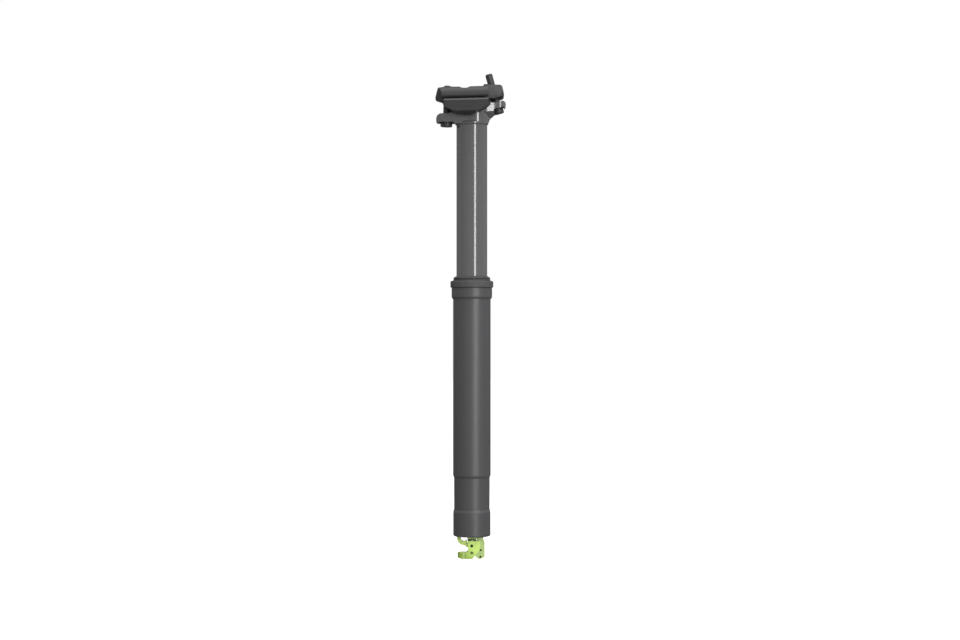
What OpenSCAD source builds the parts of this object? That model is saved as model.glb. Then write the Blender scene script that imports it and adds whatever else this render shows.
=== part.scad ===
// Dropper seatpost: a telescoping saddle post with a two-bolt head and a
// cable-worked release at its foot.
// Millimetres. +Z runs up the post, +X points to the back of the bicycle.
// The origin is on the post's axis, where the clamped wall meets the collar.

/* [Lower tube] */
// Outside diameter of the wall that the seat tube clamps
tube_d = 31.6; // [30.9:0.1:34.9]
// Bore of the lower tube
tube_bore_d = 28; // [27.4:0.1:28.6]
// Length of the clamped wall below the collar
tube_len = 148.3; // [146:0.1:200]
// Outside diameter of the narrowed section
narrow_d = 30; // [29.4:0.1:30.4]
// Length of the narrowed section down to the cap's edge
narrow_len = 28.7; // [24:0.1:40]
// Height of the cone at each end of the narrowed section
cone_h = 2.1; // [0.5:0.1:4]
// Length of the bottom cap
cap_len = 22.5; // [20:0.1:30]
// Outside diameter of the bottom cap
cap_d = 31.5; // [30.8:0.1:31.6]
// Thickness of the bottom cap's floor
cap_floor = 6; // [4:0.1:7]

/* [Collar] */
// Outside diameter of the collar
collar_d = 34.1; // [33.4:0.1:38]
// Height of the collar below its grip ring
collar_h = 9.6; // [8:0.1:14]
// Outside diameter of the grip ring
ring_d = 36.1; // [35:0.1:40]
// Height of the grip ring
ring_h = 5.6; // [4:0.1:8]
// Thickness of the wiper seal around the stanchion
wiper_t = 2.75; // [2.4:0.05:3.2]
// Height of the wiper seal above the grip ring
wiper_h = 4.0; // [3:0.1:6]

/* [Stanchion] */
// Outside diameter of the sliding stanchion
stanchion_d = 25.9; // [25:0.1:26.2]
// Wall thickness of the stanchion
stanchion_wall = 1.6; // [1.2:0.1:2]
// Height of the stanchion's top above the origin at full height
stanchion_top = 146; // [144.8:0.1:147]
// Length of the stanchion inside the lower tube at full height
stanchion_in = 62; // [56:0.1:66]
// Travel of the post
travel = 125; // [80:1:125]
// Length of the upper bushing
bush_len = 20; // [12:0.5:22]
// Length of the lower bushing
low_bush_len = 18; // [10:0.5:20]
// Number of guide keys
key_count = 3; // [2:1:4]
// Width of a guide key
key_w = 2.5; // [2:0.1:3]
// Length of a guide key
key_len = 10; // [6:0.5:10]

/* [Cartridge] */
// Outside diameter of the cartridge cylinder
cyl_d = 19; // [17:0.1:20]
// Bore of the cartridge cylinder
cyl_bore_d = 16; // [13:0.1:16.4]
// Diameter of the hollow rod
rod_d = 10; // [8:0.1:11]
// Diameter of the rod's threaded foot
rod_foot_d = 6; // [5:0.1:7]
// Diameter of the release pin
pin_d = 3; // [2:0.1:3.4]
// Length of the piston
piston_len = 10; // [6:0.5:14]
// Length of the gland that guides the rod
gland_len = 12; // [8:0.5:14]

/* [Head] */
// Height of the saddle clamp's tilt axis above the origin
arc_z = 183.1; // [183.1:0.1:195]
// Place of the tilt axis along X
arc_x = -5.1; // [-7:0.1:-3]
// Radius of the cradle's round underside
arc_r = 29; // [28:0.1:29.4]
// Tilt of the saddle clamp as stored, nose down
rest_tilt = 1.5; // [0:0.1:2]
// Width of the head across the front lug
lug_w = 22; // [18:0.5:24]
// Width of the head across the rear arm
arm_w = 16; // [14:0.5:18]
// Reach of the front lug ahead of the axis
lug_reach = 30; // [29:0.1:33]
// Reach of the rear arm behind the axis
arm_reach = 28.8; // [28:0.1:31]

/* [Saddle clamp] */
// Diameter of a saddle rail
rail_d = 7; // [6.8:0.1:7.2]
// Distance between the two rails
rail_spacing = 44; // [42:0.5:48]
// Length of the rail grooves
clamp_len = 37; // [34:0.5:38]
// Wall outside each rail
rail_wall = 2.5; // [2:0.1:4]
// Gap between the two halves of the clamp
clamp_gap = 0.8; // [0.6:0.1:1.4]
// Height of the rail centres below the tilt axis
rail_drop = 16.2; // [15.8:0.1:16.6]
// Diameter of the clamp bolts
bolt_d = 6; // [5:0.1:6.2]
// Diameter of the front bolt's head
front_head_d = 10; // [8.5:0.1:10.2]
// Diameter of the rear bolt's head
rear_head_d = 8.6; // [8.2:0.1:9.4]
// Height of the clamp bolts' heads
bolt_head_h = 4.4; // [3.5:0.1:5]
// Diameter of the barrel nuts
nut_d = 9.6; // [8.6:0.1:9.8]
// Length of the barrel nuts
nut_len = 22; // [18:0.5:26]

/* [Release] */
// Width of the release bracket
bracket_w = 10; // [9:0.1:12]
// Thickness of the release lever
lever_t = 5; // [4:0.1:5.6]
// Depth of the lever's pivot below the post's foot
pivot_drop = 8.1; // [8:0.1:10]
// Throw of the lever's cam
cam_throw = 2.9; // [2.4:0.1:3]
// Diameter of the lever's pivot pin
pivot_d = 2.5; // [2:0.1:3]
// Inside diameter of the lever's cable cup
cup_d = 5.2; // [4.4:0.1:5.4]
// Bore of the cable housing stop
stop_bore_d = 5.1; // [4.2:0.1:5.4]
// Depth of the cable housing stop's bore
stop_depth = 3.8; // [3:0.1:4]

/* [Fits] */
// Radial clearance of a running fit
run = 0.05; // [0.03:0.01:0.08]
// Radial clearance of a seated piece
seat = 0.03; // [0.02:0.01:0.05]

/* [Hidden] */
$fn = 72;
far = 100;

// Heights along the lower tube
tube_r = tube_d / 2;
tube_bore_r = tube_bore_d / 2;
narrow_r = narrow_d / 2;
step_z = -tube_len;
cap_top = step_z - narrow_len;
foot_z = cap_top - cap_len;
floor_z = foot_z + cap_floor;
cap_gap = 2.4;
tube_end_z = floor_z + cap_gap;
tube_top_z = collar_h - 0.6;
thread_r = tube_r - 0.4;
cap_rest_r = 13;

// The collar and what it holds
collar_skin = 0.6;
ring_top = collar_h + ring_h;
bush_bottom = tube_top_z - bush_len;
bush_lip_r = stanchion_d / 2 + 0.3;
wiper_floor = ring_top - 3;
wiper_r = stanchion_d / 2 + wiper_t;
wiper_pocket_r = wiper_r - 0.5;

// The stanchion's foot
stanchion_r = stanchion_d / 2;
stanchion_bore_r = stanchion_r - stanchion_wall;
stanchion_foot = -stanchion_in;
groove_r = stanchion_r - 0.45;
key_z = bush_bottom - 3 - key_len;
key_in_r = stanchion_r - 0.7;
key_out_r = tube_bore_r + 0.5;
collar_flange = 2;

// The cartridge
cyl_r = cyl_d / 2;
cyl_bore_r = cyl_bore_d / 2;
cyl_foot = stanchion_foot + 2;
cyl_top = stanchion_top - 9.5;
plug_len = 10;
piston_z = cyl_foot + gland_len + 0.5;
rod_top = piston_z + piston_len;
rod_r = rod_d / 2;
pin_r = pin_d / 2;
foot_r = rod_foot_d / 2;
flange_t = 2;
nut_t = 1.5;
rod_end = foot_z - flange_t - nut_t;
pin_foot_r = lever_t / 2 + 0.1;
pin_foot_t = 0.9;

// The saddle clamp
arc_bottom = arc_z - arc_r;
rail_r = rail_d / 2;
rail_y = rail_spacing / 2;
clamp_w = rail_spacing + rail_d + 2 * rail_wall;
clamp_front = -18.4;
clamp_back = clamp_front + clamp_len;
cradle_top = -rail_drop - clamp_gap / 2;
clamp_floor = -rail_drop + clamp_gap / 2;
arch_h = 9.3;
beam_h = 11.8;
beam_low = cradle_top + 0.3;
washer_w = 10;
arch_low_r = 0.9 * rail_wall;
arch_top_r = arch_h - arch_low_r - 0.3;
nut_drop = 10.2;
front_nut_x = -15.9;
rear_nut_x = 23.2;
beam_w = 2 * rail_y - rail_d - 4;
bolt_r = bolt_d / 2;

// The bolts swing about these points, below the lug and the arm
washer_r = 8;
washer_flat = 5.9;
front_pivot = [8.45 - lug_reach, arc_z - 39.6];
rear_pivot = [arm_reach - 5.3, arc_z - 28.6];
front_nut_at = turned([front_nut_x, -nut_drop], rest_tilt) + [arc_x, arc_z];
rear_nut_at = turned([rear_nut_x, -nut_drop], rest_tilt) + [arc_x, arc_z];
front_lean = atan2(front_nut_at.x - front_pivot.x, front_nut_at.y - front_pivot.y);
rear_lean = atan2(rear_nut_at.x - rear_pivot.x, rear_nut_at.y - rear_pivot.y);
front_tip = norm(front_nut_at - front_pivot) + nut_d / 2 + 2.3;
rear_tip = norm(rear_nut_at - rear_pivot) + nut_d / 2 + 11.5;

// The release at the foot
pivot = [-0.1, foot_z - pivot_drop];
cup = pivot + [-6.5, 6.3];
cam_r = 2.4;
boss_r = cam_r - 0.1;
plate_gap = lever_t / 2 + 0.25;
pin_end = pivot.y + cam_r + seat;
bracket_low = foot_z - 19.1;
arm_top = foot_z - 13.7;
fix_pin = [pivot.x, foot_z - 14];
stop_x = pivot.x - 7.5;
screw_r = 0.85;
screw_at = [[7.5, foot_z - 11.8], [7.2, foot_z - 17.4]];

function turned(p, a) = [p.x * cos(a) - p.y * sin(a), p.x * sin(a) + p.y * cos(a)];
function unit(v) = v / norm(v);
function flat(p) = [p.x, p.y];
// Points of a corner at q, between p and s, rounded to radius r
function corner(p, q, s, r, n) = let (
        u = unit(p - q),
        w = unit(s - q),
        half = acos(u * w) / 2,
        a = q + u * r / tan(half),
        b = q + w * r / tan(half),
        c = q + unit(u + w) * r / sin(half),
        start = atan2(a.y - c.y, a.x - c.x),
        stop = atan2(b.y - c.y, b.x - c.x),
        sweep = (stop - start + 540) % 360 - 180
    ) [for (i = [0:n]) c + r * [cos(start + sweep * i / n), sin(start + sweep * i / n)]];
// An outline whose points are [x, y, corner radius]
function rounded(pts, n = 6) = let (count = len(pts)) [for (i = [0:count - 1])
    each (pts[i][2] == 0 ? [flat(pts[i])]
        : corner(flat(pts[(i + count - 1) % count]), flat(pts[i]),
            flat(pts[(i + 1) % count]), pts[i][2], n))];

// A side view outline in X and Z, as thick as w along Y
module side(pts, w) {
    rotate([90, 0, 0])
        linear_extrude(w, center = true)
            polygon(pts);
}

// A cylinder along Y through a point of the side view
module cross(p, r, w) {
    translate([p.x, 0, p.y])
        rotate([90, 0, 0])
            cylinder(h = w, r = r, center = true);
}

// A ring turned about Z from r and z points
module turn(pts) {
    rotate_extrude()
        polygon(pts);
}

// Places the saddle clamp, modelled about its tilt axis
module on_clamp() {
    translate([arc_x, 0, arc_z])
        rotate([0, -rest_tilt, 0])
            children();
}

// Places what is modelled about a bolt's swing centre
module on_bolt(at, lean) {
    translate([at.x, 0, at.y])
        rotate([0, lean, 0])
            children();
}

module outer_tube() {
    color("#26272a")
        difference() {
            turn([[tube_bore_r, tube_end_z], [narrow_r, tube_end_z],
                [narrow_r, step_z - cone_h], [tube_r, step_z],
                [tube_r, 0], [thread_r, 0],
                [thread_r, tube_top_z], [tube_bore_r, tube_top_z]]);
            keyways();
        }
}

// The grooves that the guide keys run in
module keyways() {
    low = key_z - travel - 1;
    for (i = [0:key_count - 1])
        rotate(i * 360 / key_count)
            translate([0, -(key_w / 2 + run), low])
                cube([key_out_r + run, key_w + 2 * run, tube_top_z - low + 1]);
}

module collar() {
    color("#2a2b2e")
        turn([[thread_r + seat, seat], [tube_r + 0.5, seat], [collar_d / 2, 1.7],
            [collar_d / 2, collar_h - 0.5], [collar_d / 2 - 0.3, collar_h],
            [ring_d / 2 - 0.3, collar_h], [ring_d / 2, collar_h + 0.4],
            [ring_d / 2, ring_top - 0.7], [ring_d / 2 - 0.7, ring_top],
            [wiper_pocket_r + seat, ring_top], [wiper_pocket_r + seat, wiper_floor],
            [bush_lip_r, wiper_floor], [bush_lip_r, tube_top_z + seat],
            [thread_r + seat, tube_top_z + seat]]);
}

module wiper_seal() {
    lip = stanchion_r + run;
    top = ring_top + wiper_h;
    color("#1d1d1f")
        turn([[lip, top], [lip, top - 1.4], [lip + 0.5, top - 2.4],
            [lip + 0.5, wiper_floor + 1], [lip, wiper_floor + 0.4], [lip, wiper_floor + seat],
            [wiper_pocket_r, wiper_floor + seat], [wiper_pocket_r, ring_top + seat],
            [wiper_r, ring_top + seat], [wiper_r, ring_top + 1.1],
            [wiper_r - 0.5, ring_top + 1.3], [wiper_r - 0.5, ring_top + 1.8],
            [wiper_r, ring_top + 2], [wiper_r, ring_top + 2.4],
            [lip + 0.35, top]]);
}

module upper_bushing() {
    color("#b9a46a")
        turn([[stanchion_r + run, bush_bottom], [tube_bore_r - seat, bush_bottom],
            [tube_bore_r - seat, tube_top_z], [stanchion_r + run, tube_top_z]]);
}

module bottom_cap() {
    color("#26272a")
        turn([[foot_r + seat, foot_z], [cap_d / 2 - 1, foot_z],
            [cap_d / 2 - 0.3, foot_z + 0.3], [cap_d / 2, foot_z + 1], [cap_d / 2, cap_top - cone_h],
            [narrow_r + 0.15, cap_top], [narrow_r + seat, cap_top],
            [narrow_r + seat, tube_end_z - seat], [cap_rest_r, tube_end_z - seat],
            [cap_rest_r, floor_z], [foot_r + seat, floor_z]]);
}

module cartridge_rod() {
    color("silver")
        turn([[pin_r + run, rod_end], [foot_r, rod_end], [foot_r, floor_z + seat],
            [rod_r, floor_z + seat], [rod_r, piston_z], [foot_r, piston_z],
            [foot_r, rod_top], [pin_r + run, rod_top]]);
}

module piston() {
    deep = 0.8;
    mid = piston_z + piston_len / 2;
    color("#9a9ca0")
        turn([[foot_r + seat, piston_z + seat], [cyl_bore_r - 0.8, piston_z + seat],
            [cyl_bore_r - run, piston_z + 0.8], [cyl_bore_r - run, mid - 1],
            [cyl_bore_r - deep, mid - 1], [cyl_bore_r - deep, mid + 1],
            [cyl_bore_r - run, mid + 1], [cyl_bore_r - run, rod_top - 0.8],
            [cyl_bore_r - 0.8, rod_top], [foot_r + seat, rod_top]]);
}

module rod_nut() {
    color("#3a3b3d")
        turn([[foot_r + seat, rod_end], [foot_r + 0.4, rod_end], [foot_r + 0.6, rod_end + 0.2],
            [foot_r + 0.6, foot_z - flange_t - seat], [foot_r + seat, foot_z - flange_t - seat]]);
}

// The yoke that hangs the release from the post's foot
module actuator_mount() {
    z = foot_z - seat;
    color("#a5c850")
        difference() {
            union() {
                side(rounded([[-3.6, z, 0], [9.7, z, 0], [9.7, z - flange_t, 0],
                    [-3.6, z - flange_t, 0.4]]), bracket_w);
                side(rounded([[4.1, z, 0], [9.7, z, 0], [9.7, z - 3, 0.6],
                    [10.8, z - 5.2, 0.6], [10.8, z - 17.6, 1.2], [7, z - 19.4, 1],
                    [5.3, z - 19, 0.6], [2.4, z - 16.5, 0.6], [-2.6, z - 16.5, 0.6],
                    [-2.6, z - 13, 0.6], [6.2, z - 13, 1], [6.2, z - 4, 0.6],
                    [4.1, z - 4, 0.4]]), 2 * plate_gap - 0.1);
            }
            translate([0, 0, z - flange_t - 1])
                cylinder(h = flange_t + 2, r = foot_r + seat);
            for (at = screw_at)
                cross(at, screw_r + seat, far);
            cross(fix_pin, pivot_d / 2 + seat, far);
        }
}

// Set screws in the yoke's tongue
module set_screws() {
    color("#26282b")
        for (at = screw_at)
            cross(at, screw_r, 2 * plate_gap - 0.9);
}

// Two side plates, joined by the cable housing stop at their left
module actuator_bracket() {
    top = foot_z - 4.1;
    color("#b4da62")
        difference() {
            intersection() {
                side(rounded([[-3.6, top, 0.8], [6.9, top, 0.6], [6.9, pivot.y, 1],
                    [6.6, foot_z - 11.2, 1], [3, foot_z - 15.9, 0.6], [0.4, bracket_low, 1],
                    [-8, bracket_low, 1], [-11.9, bracket_low + 0.9, 0.8],
                    [-12.1, arm_top, 0.8], [-4.1, arm_top, 1.2],
                    [-3.3, arm_top + 1.5, 0.8], [-3.3, pivot.y, 0.8]]), bracket_w);
                union() {
                    translate([stop_x, 0, bracket_low - 1])
                        cylinder(h = 30, r = bracket_w / 2 - 0.5);
                    translate([stop_x + 2.4, -bracket_w / 2, bracket_low - 1])
                        cube([30, bracket_w, 30]);
                }
            }
            translate([-2.9, -plate_gap, foot_z - 30])
                cube([20, 2 * plate_gap, 30]);
            translate([-6, -plate_gap, arm_top])
                cube([20, 2 * plate_gap, 30]);
            cross(pivot, pivot_d / 2 + seat, far);
            cross(fix_pin, pivot_d / 2 + seat, far);
            translate([stop_x, 0, bracket_low - 1])
                cylinder(h = stop_depth + 1, r = stop_bore_d / 2);
            translate([stop_x, 0, bracket_low])
                cylinder(h = 10, r = 0.9);
        }
}

module pivot_pin() {
    color("#6e7174")
        cross(pivot, pivot_d / 2, bracket_w - 0.8);
}

module bracket_pin() {
    color("#6e7174")
        cross(fix_pin, pivot_d / 2, bracket_w - 0.8);
}

// A rocker: cable cup at its left, cam on the far side of its pivot
module release_lever() {
    cup_r = cup_d / 2;
    rim_r = cup_r + 3.2;
    under = pin_end - 0.2;
    color("#b4da62")
        rotate([90, 0, 0])
            linear_extrude(lever_t, center = true)
                difference() {
                    union() {
                        translate(cup)
                            circle(rim_r);
                        polygon([[cup.x, cup.y - rim_r], [-3.9, pivot.y - 1.2],
                            [pivot.x - 0.4, pivot.y - boss_r], [pivot.x + cam_throw, pivot.y - cam_r],
                            [pivot.x + cam_throw, pivot.y + 1], [pivot.x, under],
                            [cup.x, under]]);
                        translate(pivot)
                            circle(boss_r);
                        translate(pivot + [cam_throw, 0])
                            circle(cam_r);
                    }
                    translate(pivot)
                        circle(pivot_d / 2 + run);
                    translate(cup)
                        circle(cup_r);
                    translate([cup.x - cup_r, cup.y])
                        square([rim_r + cup_r, rim_r]);
                    translate([cup.x - rim_r, cup.y + 0.9])
                        square([2 * rim_r, rim_r]);
                    translate([-3.9, under])
                        square([3.9 + pivot.x, rim_r + 5]);
                }
}

module release_pin() {
    color("silver")
        turn([[0, pin_end], [pin_foot_r, pin_end], [pin_foot_r, pin_end + pin_foot_t],
            [pin_r, pin_end + pin_foot_t], [pin_r, rod_top - 2], [0, rod_top - 2]]);
}

module stanchion() {
    pocket = key_w + 2 * seat;
    color("#17181a")
        difference() {
            turn([[stanchion_bore_r, stanchion_foot], [groove_r, stanchion_foot],
                [groove_r, stanchion_foot + low_bush_len], [stanchion_r, stanchion_foot + low_bush_len],
                [stanchion_r, stanchion_top], [stanchion_bore_r, stanchion_top]]);
            for (i = [0:key_count - 1])
                rotate(i * 360 / key_count)
                    translate([key_in_r - seat, -pocket / 2, key_z - seat])
                        cube([5, pocket, key_len + 2 * seat]);
        }
}

module guide_keys() {
    color("#c9a94e")
        for (i = [0:key_count - 1])
            rotate(i * 360 / key_count)
                translate([key_in_r, -key_w / 2, key_z])
                    cube([key_out_r - key_in_r, key_w, key_len]);
}

module lower_bushing() {
    color("#b9a46a")
        turn([[groove_r + seat, stanchion_foot], [tube_bore_r - run, stanchion_foot],
            [tube_bore_r - run, stanchion_foot + low_bush_len - seat],
            [groove_r + seat, stanchion_foot + low_bush_len - seat]]);
}

// The threaded ring that holds the cartridge in the stanchion's foot
module cartridge_collar() {
    color("#8d9094")
        turn([[cyl_r + seat, stanchion_foot - collar_flange], [tube_bore_r - 0.6, stanchion_foot - collar_flange],
            [tube_bore_r - 0.6, stanchion_foot - seat], [stanchion_bore_r - seat, stanchion_foot - seat],
            [stanchion_bore_r - seat, stanchion_foot + 8], [cyl_r + seat, stanchion_foot + 8]]);
}

module cartridge_cylinder() {
    color("#5b5d61")
        turn([[cyl_bore_r, cyl_foot], [cyl_r, cyl_foot], [cyl_r, cyl_top], [cyl_bore_r, cyl_top]]);
}

module cylinder_plug() {
    color("#8d9094")
        turn([[0, cyl_top - plug_len], [cyl_bore_r - seat, cyl_top - plug_len],
            [cyl_bore_r - seat, cyl_top + seat], [cyl_r, cyl_top + seat],
            [cyl_r, cyl_top + 1.5], [0, cyl_top + 1.5]]);
}

module rod_gland() {
    color("#8d9094")
        turn([[rod_r + run, cyl_foot], [cyl_bore_r - seat, cyl_foot],
            [cyl_bore_r - seat, cyl_foot + gland_len], [rod_r + run, cyl_foot + gland_len]]);
}

// What a bolt and its washer need cut out of the lug or the arm
module bolt_seat(hole_r, head_d) {
    half = head_d / 2 + 1;
    intersection() {
        cross([0, 0], washer_r + seat, washer_w + 0.4);
        translate([-washer_r, -washer_r, washer_flat - 0.05])
            cube(2 * washer_r);
    }
    translate([-half, -washer_w / 2 - 0.4, washer_flat - 12])
        cube([2 * half, washer_w + 0.8, 12]);
    cylinder(h = 30, r = hole_r);
}

module saddle_head() {
    spigot_r = stanchion_bore_r - seat;
    low = stanchion_top;
    neck_r = stanchion_r + 0.7;
    lug_low = arc_z - 34.7;
    lug_high = arc_z - 27.7;
    rib = [arm_reach - 4.4, arc_z - 38];
    rib_r = 10.9;
    color("#17181a")
        difference() {
            union() {
                intersection() {
                    side(rounded([[-lug_reach, lug_low, 1.2], [-lug_reach, lug_high, 4.4],
                        [arc_x - 14.4, lug_high, 1], [arc_x - 11.9, arc_z - 26.4, 0],
                        [arc_x + 22.2, arc_z - 18.6, 0.6], [arm_reach - 5.9, arc_z - 17.6, 4],
                        [arm_reach, arc_z - 15.6, 2.7], [arm_reach - 0.4, arc_z - 22.6, 2.4],
                        under(118), under(128), under(138), under(148), under(158),
                        [neck_r, low + 1.1, 0], [-neck_r - 0.1, low + 1.1, 0],
                        [-neck_r - 0.3, lug_low, 1.1]]), far);
                    union() {
                        upright(low) lug_plan();
                        intersection() {
                            upright(low) arm_plan();
                            arm_keel();
                        }
                    }
                }
                turn([[0, low], [stanchion_r, low], [neck_r, low + 1.1], [neck_r, low + 2.2],
                    [neck_r - 1, low + 3.2], [0, low + 3.2]]);
                translate([0, 0, low - 15])
                    cylinder(h = 15.5, r = spigot_r);
            }
            cross([arc_x, arc_z], arc_r + run, far);
            translate([0, 0, low - 16])
                cylinder(h = cyl_top - low + 16 + 1.6, r = cyl_r + seat);
            on_bolt(front_pivot, front_lean)
                bolt_seat(bolt_r + 0.8, front_head_d);
            on_bolt(rear_pivot, rear_lean) {
                bolt_seat(bolt_r + 1.2, rear_head_d);
                translate([0.4 - rear_head_d / 2, -far / 2, washer_flat - 12])
                    cube([rear_head_d + 0.6, far, 12]);
            }
        }

    // A point on the concave fillet between the neck and the arm
    function under(a) = [rib.x + rib_r * cos(a), rib.y + rib_r * sin(a), 0];
}

// Raises an outline seen from above to the height of the whole head
module upright(low) {
    translate([0, 0, low - 1])
        linear_extrude(60)
            children();
}

// The head seen from above: its neck and front lug
module lug_plan() {
    translate([2.4, 0])
        circle(stanchion_r - 0.4);
    polygon(rounded([[-lug_reach, -lug_w / 2, 6], [0, -lug_w / 2, 0],
        [0, lug_w / 2, 0], [-lug_reach, lug_w / 2, 6]]));
}

// The head seen from above: its rear arm, with a waist behind the neck
module arm_plan() {
    half = arm_w / 2;
    edge = rounded([[0, half + 2.9, 0], [arm_reach - 19.4, half + 2.9, 2],
        [arm_reach - 15.5, half + 1.4, 0], [arm_reach - 10, half + 0.25, 0],
        [arm_reach - 6, half, 3], [arm_reach, half - 0.6, half - 2.4],
        [arm_reach, 0, 0]]);
    polygon(edge);
    mirror([0, 1])
        polygon(edge);
    polygon([[0, -1], [arm_reach - 6, -1], [arm_reach - 6, 1], [0, 1]]);
}

// Slopes the arm's lower edges inwards, along a line that rises to the back
module arm_keel() {
    half = arm_w / 2 + 0.6;
    translate([arm_reach - 15.6, 0, arc_z - 27])
        rotate([0, -21, 0])
            rotate([90, 0, 90])
                linear_extrude(2 * far, center = true)
                    polygon([[-half - 30, 30], [-half + 7, -7], [-half + 7, -40],
                        [half - 7, -40], [half - 7, -7], [half + 30, 30]]);
}

// Holds the rails from below and rocks in the head's round seat
module lower_cradle() {
    half = clamp_w / 2;
    color("#141517")
        on_clamp()
            difference() {
                intersection() {
                    cross([0, 0], arc_r, clamp_w);
                    union() {
                        translate([clamp_front, -half, -arc_r - 1])
                            cube([clamp_len, clamp_w, cradle_top + arc_r + 1]);
                        translate([0, -8, -arc_r - 1])
                            cube([clamp_back + 1.9, 16, cradle_top + arc_r + 1]);
                    }
                    rotate([90, 0, 90])
                        linear_extrude(far, center = true)
                            polygon(rounded([[-half + 1.6, -arc_r - 1, 0], [-half, -arc_r + 1.8, 1],
                                [-half, cradle_top - 1.7, 0.5], [-half + 1.2, cradle_top, 0],
                                [half - 1.2, cradle_top, 0], [half, cradle_top - 1.7, 0.5],
                                [half, -arc_r + 1.8, 1], [half - 1.6, -arc_r - 1, 0]]));
                }
                rail_grooves();
                translate([clamp_front - 1, -4.6, -arc_r - 1])
                    cube([10.5, 9.2, arc_r]);
                translate([clamp_front + 11, -13, -arc_r + 4.5])
                    cube([clamp_len - 15, 26, arc_r]);
            }
}

module rail_grooves() {
    for (s = [-1, 1])
        translate([0, s * rail_y, -rail_drop])
            rotate([0, 90, 0])
                cylinder(h = far, r = rail_r, center = true);
}

// Arches over the rails, joined by two beams that hold the barrel nuts
module upper_clamp() {
    half = clamp_w / 2;
    top = clamp_floor + arch_h;
    beam_top = beam_low + beam_h;
    inner = rail_y - rail_r - 2;
    nose = 2;
    wide = half - inner;
    color("#1c1d1f")
        on_clamp()
            difference() {
                union() {
                    for (s = [-1, 1])
                        translate([clamp_front - nose, 0, 0])
                            rotate([90, 0, 90])
                                linear_extrude(clamp_len + nose)
                                    polygon(rounded([[s * half, clamp_floor, arch_low_r],
                                        [s * half, top, arch_top_r], [s * inner, top, 0.2 * wide],
                                        [s * inner, clamp_floor, 0]]));
                    beam([[-26.2, beam_low + 1.8, 1], [-18.4, beam_low, 0.8],
                        [-9.5, beam_low, 0.8], [-9.5, beam_top - 1.3, 1.4],
                        [-23.4, beam_top - 1.3, 1.6]], -26.2, clamp_front, 12);
                    beam([[31.9, beam_low + 2.6, 1], [30.2, beam_top - 0.2, 3],
                        [14.6, beam_top, 1.4], [14.6, beam_low, 0.8],
                        [24.3, beam_low, 0.8]], 31.9, clamp_back, 5);
                }
                rail_grooves();
                cross([-0.9, top + 6.3], 8, far);
                nut_trough(front_nut_x, front_lean + rest_tilt);
                nut_trough(rear_nut_x, rear_lean + rest_tilt);
            }
}

// A beam between the arches, round in plan at its end. Where it stands out
// beyond the arches, its sides slope inwards.
module beam(pts, end, join, round_r) {
    w = beam_w + 1;
    sgn = sign(end);
    slope_low = beam_low + 3;
    intersection() {
        side(rounded(pts), w);
        translate([0, 0, -50])
            linear_extrude(far)
                polygon(rounded([[end, -w / 2, round_r], [end, w / 2, round_r],
                    [end - sgn * 25, w / 2, 0], [end - sgn * 25, -w / 2, 0]]));
        union() {
            translate([join - sgn * far / 2, 0, 0])
                cube(far, center = true);
            rotate([90, 0, 90])
                linear_extrude(far, center = true)
                    polygon([[-w / 2, slope_low - 10], [w / 2, slope_low - 10], [w / 2, slope_low],
                        [w / 2 - 5.2, slope_low + 10], [5.2 - w / 2, slope_low + 10], [-w / 2, slope_low]]);
        }
    }
}

// The open-topped round seat of a barrel nut, and its bolt's way through
module nut_trough(x, lean) {
    r = nut_d / 2 + seat;
    w = nut_len + 0.6;
    cross([x, -nut_drop], r, w);
    translate([x - r, -w / 2, -nut_drop])
        cube([2 * r, w, 20]);
    translate([x, 0, -nut_drop])
        rotate([0, lean, 0])
            translate([0, 0, -12])
                cylinder(h = 32, r = bolt_r + 1.5);
}

module bolt(tip, head_d) {
    head_low = washer_flat - 0.1 - bolt_head_h;
    head_r = head_d / 2;
    color("#202123")
        difference() {
            turn([[0, head_low], [head_r - 0.5, head_low],
                [head_r, head_low + 0.5], [head_r, washer_flat - 0.4],
                [head_r - 0.3, washer_flat - 0.1], [bolt_r, washer_flat - 0.1],
                [bolt_r, tip - 0.7], [bolt_r - 0.7, tip], [0, tip]]);
            translate([0, 0, head_low - 1])
                cylinder(h = 3.4, d = 4.6, $fn = 6);
        }
}

// A half-moon washer that lets its bolt swing
module washer(head_d) {
    color("#55585c")
        difference() {
            intersection() {
                cross([0, 0], washer_r, washer_w);
                translate([-head_d / 2, -6, washer_flat])
                    cube([head_d, 12, washer_r]);
            }
            cylinder(h = 30, r = bolt_r + 0.1);
        }
}

module barrel_nut(at, lean) {
    color("#33363a")
        on_bolt(at, lean)
            difference() {
                cross([0, 0], nut_d / 2, nut_len);
                cylinder(h = far, r = bolt_r + 0.2, center = true);
            }
}

module front_bolt() {
    on_bolt(front_pivot, front_lean)
        bolt(front_tip, front_head_d);
}

module front_washer() {
    on_bolt(front_pivot, front_lean)
        washer(front_head_d);
}

module front_nut() {
    barrel_nut(front_nut_at, front_lean);
}

module rear_bolt() {
    on_bolt(rear_pivot, rear_lean)
        bolt(rear_tip, rear_head_d);
}

module rear_washer() {
    on_bolt(rear_pivot, rear_lean)
        washer(rear_head_d);
}

module rear_nut() {
    barrel_nut(rear_nut_at, rear_lean);
}

outer_tube();
collar();
wiper_seal();
upper_bushing();
bottom_cap();
cartridge_rod();
piston();
rod_nut();
actuator_mount();
set_screws();
actuator_bracket();
pivot_pin();
bracket_pin();
release_lever();
release_pin();
stanchion();
saddle_head();
cartridge_cylinder();
cylinder_plug();
rod_gland();
cartridge_collar();
lower_bushing();
guide_keys();
lower_cradle();
upper_clamp();
front_bolt();
front_washer();
front_nut();
rear_bolt();
rear_washer();
rear_nut();
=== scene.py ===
import math

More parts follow.
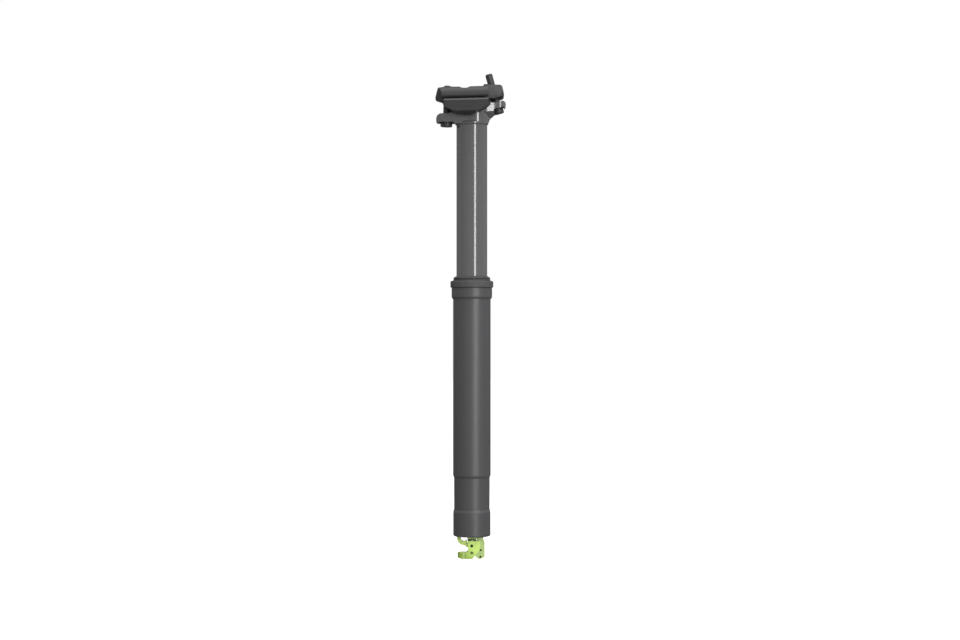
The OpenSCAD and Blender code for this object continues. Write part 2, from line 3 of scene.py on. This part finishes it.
import bmesh
import bpy
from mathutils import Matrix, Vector


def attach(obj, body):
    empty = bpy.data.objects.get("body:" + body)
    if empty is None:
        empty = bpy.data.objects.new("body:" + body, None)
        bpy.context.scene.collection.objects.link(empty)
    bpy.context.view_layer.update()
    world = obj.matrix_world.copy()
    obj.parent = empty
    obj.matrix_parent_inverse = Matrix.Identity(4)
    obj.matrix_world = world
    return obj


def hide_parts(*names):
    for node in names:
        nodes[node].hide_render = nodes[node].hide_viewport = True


# Lengths are in metres, angles in degrees and lamps in watts
WHITE = (1, 1, 1, 1)

NOISE_DETAIL = 4.0
LEAST_ROUGHNESS = 0.02
MATT_ROUGHNESS = 0.68
MATT_STEP = 0.0001              # height over which a finish turns matt
GRIP_RING_FOOT = 0.0097         # height of the grip ring's lower edge
# Painted shade: a colour that darkens to olive towards the front and bottom stands in for the shade
# there
PAINTED_SHADE_ALONG = (0.6, 0.0, 0.8)    # painted shade: the colour is full up and to the back, and turns olive the other way
PAINTED_SHADE_OLIVE = (0.26, 0.38, 0.055)
PAINTED_SHADE_START, PAINTED_SHADE_END = -0.1775, -0.1675    # places along it: the painted shade's olive before, the full colour after

MERGE_DISTANCE = 1e-6
FLAT_ANGLE = 1                  # CAD facets that meet at less are joined
HARD_ANGLE = 32                 # edges sharper than this are eased
EASE_SEGMENTS = 2
FORGED_EASE = 0.0004
PLATE_EASE = 0.0003

FLOOR_WIDTH = 12
FLOOR_AT = (0, 3, -0.36)
FLOOR_SHADE = 0.15
FLOOR_GLOW = 1.05
FILL_STRENGTH = 0.46
DIM_FROM, DIM_TO = 0.35, 0.9    # the direction's Y part: reflections dim between these
FULL_REFLECTION, DIM_REFLECTION = 1.0, 0.25
LAMP_AIM = (0, 0, -0.02)

CAMERA_AT = (0.00687, -1.601, -0.0177)
LENS_MM = 71.25
SENSOR_MM = 36.0

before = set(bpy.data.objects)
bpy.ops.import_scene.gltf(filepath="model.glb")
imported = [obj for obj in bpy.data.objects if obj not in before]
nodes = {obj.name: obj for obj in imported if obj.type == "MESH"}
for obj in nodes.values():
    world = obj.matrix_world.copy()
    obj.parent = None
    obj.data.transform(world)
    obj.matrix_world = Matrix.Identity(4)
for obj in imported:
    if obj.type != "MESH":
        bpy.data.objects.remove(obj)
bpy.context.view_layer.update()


def emptied(owner):
    """The node tree of a material or a world, with nothing in it."""
    owner.use_nodes = True
    owner.node_tree.nodes.clear()
    return owner.node_tree


def material(name, color, rough, metallic=0.0, grain=0.04, bump=0.0, scale=400.0, level=0.5,
             matt_above=None, painted_shade_from=None):
    """A surface whose roughness wanders a little.

    It may have a fine relief, be matt above a height, and carry a painted shade that darkens its
    colour towards another colour along one direction.
    """
    m = bpy.data.materials.new(name)
    m.diffuse_color = (*color, 1)
    tree = emptied(m)
    out = tree.nodes.new("ShaderNodeOutputMaterial")
    surface = tree.nodes.new("ShaderNodeBsdfPrincipled")
    tree.links.new(surface.outputs["BSDF"], out.inputs["Surface"])
    surface.inputs["Base Color"].default_value = (*color, 1)
    surface.inputs["Metallic"].default_value = metallic
    surface.inputs["Specular IOR Level"].default_value = level
    where = tree.nodes.new("ShaderNodeTexCoord")
    noise = tree.nodes.new("ShaderNodeTexNoise")
    noise.inputs["Scale"].default_value = scale
    noise.inputs["Detail"].default_value = NOISE_DETAIL
    tree.links.new(where.outputs["Object"], noise.inputs["Vector"])
    spread = tree.nodes.new("ShaderNodeMapRange")
    spread.inputs["To Min"].default_value = max(rough - grain, LEAST_ROUGHNESS)
    spread.inputs["To Max"].default_value = rough + grain
    tree.links.new(noise.outputs["Fac"], spread.inputs["Value"])
    tree.links.new(spread.outputs["Result"], surface.inputs["Roughness"])
    if matt_above is not None:
        axes = tree.nodes.new("ShaderNodeSeparateXYZ")
        tree.links.new(where.outputs["Object"], axes.inputs[0])
        matt = tree.nodes.new("ShaderNodeMapRange")
        matt.inputs["From Min"].default_value = matt_above
        matt.inputs["From Max"].default_value = matt_above + MATT_STEP
        tree.links.new(axes.outputs["Z"], matt.inputs["Value"])
        tree.links.new(spread.outputs["Result"], matt.inputs["To Min"])
        matt.inputs["To Max"].default_value = MATT_ROUGHNESS
        tree.links.new(matt.outputs["Result"], surface.inputs["Roughness"])
    # Painted shade: the base colour darkens to olive along one direction, in place of shade
    if painted_shade_from:
        along = tree.nodes.new("ShaderNodeVectorMath")
        along.operation = "DOT_PRODUCT"
        along.inputs[1].default_value = PAINTED_SHADE_ALONG
        tree.links.new(where.outputs["Object"], along.inputs[0])
        share = tree.nodes.new("ShaderNodeMapRange")
        share.inputs["From Min"].default_value = PAINTED_SHADE_START
        share.inputs["From Max"].default_value = PAINTED_SHADE_END
        tree.links.new(along.outputs["Value"], share.inputs["Value"])
        blend = tree.nodes.new("ShaderNodeMix")
        blend.data_type = "RGBA"
        # Sockets 6 and 7 are the painted shade's olive and the full colour, and output 2 is the
        # blended one
        tree.links.new(share.outputs["Result"], blend.inputs[0])
        blend.inputs[6].default_value = (*painted_shade_from, 1)
        blend.inputs[7].default_value = (*color, 1)
        tree.links.new(blend.outputs[2], surface.inputs["Base Color"])
    if bump:
        relief = tree.nodes.new("ShaderNodeBump")
        relief.inputs["Strength"].default_value = 1.0
        relief.inputs["Distance"].default_value = bump
        tree.links.new(noise.outputs["Fac"], relief.inputs["Height"])
        tree.links.new(relief.outputs["Normal"], surface.inputs["Normal"])
    return m


satin_black = material("satin_black", (0.052, 0.052, 0.054), 0.42, grain=0.05, scale=1500,
                       bump=3e-6, level=0.33)
collar_black = material("collar_black", (0.052, 0.052, 0.054), 0.42, grain=0.05, scale=1500,
                        bump=3e-6, level=0.33, matt_above=GRIP_RING_FOOT)
gloss_black = material("gloss_black", (0.07, 0.07, 0.072), 0.13, grain=0.004, scale=300, level=0.42)
# The cradle's black forging finish, made darker than the upper clamp's black as painted shade below
# the clamp
forged_black = material("forged_black", (0.014, 0.014, 0.0145), 0.38, grain=0.05, scale=1200,
                        bump=4e-6, level=0.3)
blasted_black = material("blasted_black", (0.024, 0.024, 0.0245), 0.56, grain=0.05, scale=1200,
                         bump=4e-6, level=0.3)
dark_grey = material("dark_grey", (0.05, 0.05, 0.052), 0.35, grain=0.05, scale=900)
turned_metal = material("turned_metal", (0.6, 0.61, 0.62), 0.3, metallic=1.0, scale=600)
rubber = material("rubber", (0.045, 0.045, 0.045), 0.7, grain=0.08, scale=2500, bump=8e-6,
                  level=0.25)
polymer = material("polymer", (0.42, 0.34, 0.2), 0.5, scale=700)
brass = material("brass", (0.7, 0.53, 0.24), 0.3, metallic=1.0, scale=800)
bright_steel = material("bright_steel", (0.62, 0.62, 0.63), 0.22, metallic=1.0, scale=700)
black_steel = material("black_steel", (0.025, 0.025, 0.027), 0.4, grain=0.06, scale=1400,
                       bump=4e-6, level=0.3)
green_steel = material("green_steel", (0.07, 0.12, 0.025), 0.3, grain=0.05, scale=1400, level=0.6)
dark_green = material("dark_green", (0.006, 0.02, 0.002), 0.5, grain=0.05, scale=1400, level=0.1)
lime = material("lime", (0.42, 0.59, 0.125), 0.34, grain=0.05, scale=1500, bump=3e-6, level=0.6)
# The bracket's lime with painted shade: it darkens to olive towards its lower front end
lime_painted_shade = material("lime_painted_shade", (0.51, 0.7, 0.15), 0.34, grain=0.05, scale=1500, bump=3e-6,
                       level=0.6, painted_shade_from=PAINTED_SHADE_OLIVE)
pale_lime = material("pale_lime", (0.36, 0.48, 0.17), 0.4, grain=0.05, scale=1500, bump=3e-6,
                     level=0.4)
# A dark copy of the lime: painted shadow for the rod nut, which sits in shade under the cap
painted_shadow_lime = material("painted_shadow_lime", (0.07, 0.13, 0.02), 0.5, grain=0.05, scale=1500, level=0.3)

finish = {
    "outer_tube": satin_black, "collar": collar_black, "bottom_cap": satin_black,
    "wiper_seal": rubber, "upper_bushing": polymer, "lower_bushing": polymer,
    "cartridge_rod": bright_steel, "release_pin": bright_steel, "piston": turned_metal,
    "rod_gland": turned_metal, "cylinder_plug": turned_metal, "cartridge_collar": turned_metal,
    "cartridge_cylinder": dark_grey, "rod_nut": painted_shadow_lime, "actuator_mount": pale_lime,
    "set_screws": dark_green, "actuator_bracket": lime_painted_shade, "release_lever": lime,
    "pivot_pin": dark_green, "bracket_pin": green_steel, "stanchion": gloss_black,
    "saddle_head": gloss_black, "guide_keys": brass, "lower_cradle": forged_black,
    "upper_clamp": blasted_black, "front_bolt": black_steel, "front_washer": dark_grey,
    "front_nut": dark_grey, "rear_bolt": black_steel, "rear_washer": dark_grey,
    "rear_nut": dark_grey,
}
for name, look in finish.items():
    for place in nodes[name].material_slots:
        place.material = look


def eased(node, body, width, name):
    """A copy of a CAD part with its hard edges broken, as a forging or a tumbled plate has them."""
    mesh = nodes[node].data.copy()
    piece = bpy.data.objects.new(name, mesh)
    bpy.context.scene.collection.objects.link(piece)
    shape = bmesh.new()
    shape.from_mesh(mesh)
    bmesh.ops.remove_doubles(shape, verts=shape.verts, dist=MERGE_DISTANCE)
    bmesh.ops.dissolve_limit(shape, angle_limit=math.radians(FLAT_ANGLE), verts=shape.verts,
                             edges=shape.edges)
    for face in shape.faces:
        face.smooth = True
    for edge in shape.edges:
        edge.smooth = True
    shape.to_mesh(mesh)
    shape.free()
    ease = piece.modifiers.new("ease", "BEVEL")
    ease.width = width
    ease.segments = EASE_SEGMENTS
    ease.limit_method = "ANGLE"
    ease.angle_limit = math.radians(HARD_ANGLE)
    smooth = piece.modifiers.new("smooth", "WEIGHTED_NORMAL")
    smooth.keep_sharp = True
    mesh.materials.clear()
    mesh.materials.append(finish[node])
    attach(piece, body)
    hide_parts(node)


eased("saddle_head", "upper", FORGED_EASE, "head_forging")
eased("upper_clamp", "clamp", FORGED_EASE, "upper_forging")
eased("lower_cradle", "clamp", FORGED_EASE, "cradle_forging")
eased("actuator_bracket", "lower", PLATE_EASE, "bracket_plates")
eased("actuator_mount", "lower", PLATE_EASE, "yoke_plate")
eased("release_lever", "lever", PLATE_EASE, "lever_plate")


def pale_floor():
    """A floor material that is white to the camera and dark as a light on the object."""
    m = bpy.data.materials.new("pale_floor")
    tree = emptied(m)
    out = tree.nodes.new("ShaderNodeOutputMaterial")
    path = tree.nodes.new("ShaderNodeLightPath")
    base = tree.nodes.new("ShaderNodeBsdfDiffuse")
    base.inputs["Color"].default_value = (FLOOR_SHADE, FLOOR_SHADE, FLOOR_SHADE, 1)
    glow = tree.nodes.new("ShaderNodeEmission")
    glow.inputs["Color"].default_value = WHITE
    glow.inputs["Strength"].default_value = FLOOR_GLOW
    both = tree.nodes.new("ShaderNodeAddShader")
    tree.links.new(base.outputs[0], both.inputs[0])
    tree.links.new(glow.outputs[0], both.inputs[1])
    choose = tree.nodes.new("ShaderNodeMixShader")
    tree.links.new(path.outputs["Is Camera Ray"], choose.inputs["Fac"])
    tree.links.new(base.outputs[0], choose.inputs[1])
    tree.links.new(both.outputs[0], choose.inputs[2])
    tree.links.new(choose.outputs[0], out.inputs["Surface"])
    return m


bpy.ops.mesh.primitive_plane_add(size=FLOOR_WIDTH, location=FLOOR_AT)
floor = bpy.context.object
floor.name = "floor"
floor.data.materials.append(pale_floor())


def studio():
    """A surround that is white to the camera and a weaker light on the object.

    In reflections it is white too, but dimmer in directions behind the object.
    """
    world = bpy.data.worlds.new("studio")
    tree = emptied(world)
    out = tree.nodes.new("ShaderNodeOutputWorld")
    path = tree.nodes.new("ShaderNodeLightPath")
    seen = tree.nodes.new("ShaderNodeBackground")
    seen.inputs["Color"].default_value = WHITE
    seen.inputs["Strength"].default_value = 1.0
    fill = tree.nodes.new("ShaderNodeBackground")
    fill.inputs["Color"].default_value = WHITE
    fill.inputs["Strength"].default_value = FILL_STRENGTH
    either = tree.nodes.new("ShaderNodeMath")
    either.operation = "MAXIMUM"
    tree.links.new(path.outputs["Is Camera Ray"], either.inputs[0])
    tree.links.new(path.outputs["Is Transmission Ray"], either.inputs[1])
    where = tree.nodes.new("ShaderNodeTexCoord")
    axes = tree.nodes.new("ShaderNodeSeparateXYZ")
    tree.links.new(where.outputs["Generated"], axes.inputs[0])
    dim = tree.nodes.new("ShaderNodeMapRange")
    dim.inputs["From Min"].default_value = DIM_FROM
    dim.inputs["From Max"].default_value = DIM_TO
    dim.inputs["To Min"].default_value = FULL_REFLECTION
    dim.inputs["To Max"].default_value = DIM_REFLECTION
    tree.links.new(axes.outputs["Y"], dim.inputs["Value"])
    mirrored = tree.nodes.new("ShaderNodeBackground")
    mirrored.inputs["Color"].default_value = WHITE
    tree.links.new(dim.outputs["Result"], mirrored.inputs["Strength"])
    reflect = tree.nodes.new("ShaderNodeMixShader")
    tree.links.new(path.outputs["Is Glossy Ray"], reflect.inputs["Fac"])
    tree.links.new(fill.outputs[0], reflect.inputs[1])
    tree.links.new(mirrored.outputs[0], reflect.inputs[2])
    choose = tree.nodes.new("ShaderNodeMixShader")
    tree.links.new(either.outputs[0], choose.inputs["Fac"])
    tree.links.new(reflect.outputs[0], choose.inputs[1])
    tree.links.new(seen.outputs[0], choose.inputs[2])
    tree.links.new(choose.outputs[0], out.inputs["Surface"])
    return world


bpy.context.scene.world = studio()


def lamp(name, azimuth, height, distance, width, tall, power, in_reflections=True):
    """A soft area lamp. Azimuth 0 is at the camera, positive to its right."""
    a = math.radians(azimuth)
    light = bpy.data.lights.new(name, "AREA")
    light.shape = "RECTANGLE"
    light.size = width
    light.size_y = tall
    light.energy = power
    obj = bpy.data.objects.new(name, light)
    bpy.context.scene.collection.objects.link(obj)
    obj.location = (distance * math.sin(a), -distance * math.cos(a), height)
    obj.rotation_euler = (Vector(LAMP_AIM) - obj.location).to_track_quat("-Z", "Y").to_euler()
    obj.visible_glossy = in_reflections


lamp("strip", azimuth=24.5, height=-0.03, distance=1.5, width=0.3, tall=1.0, power=17)
lamp("key", azimuth=45, height=1.4, distance=1.9, width=1.1, tall=1.1, power=18)
lamp("overhead", azimuth=0, height=1.6, distance=0.3, width=1.0, tall=0.8, power=20)
lamp("front", azimuth=5, height=0.0, distance=2.4, width=1.2, tall=1.2, power=14,
     in_reflections=False)
lamp("back", azimuth=180, height=0.6, distance=2.0, width=1.2, tall=1.2, power=55,
     in_reflections=False)

# A level camera that looks along +Y
camera = bpy.data.objects.new("camera", bpy.data.cameras.new("camera"))
bpy.context.scene.collection.objects.link(camera)
camera.location = CAMERA_AT
camera.rotation_euler = (math.radians(90), 0, 0)
camera.data.lens = LENS_MM
camera.data.sensor_width = SENSOR_MM
bpy.context.scene.camera = camera
bpy.context.scene.view_settings.view_transform = "Standard"
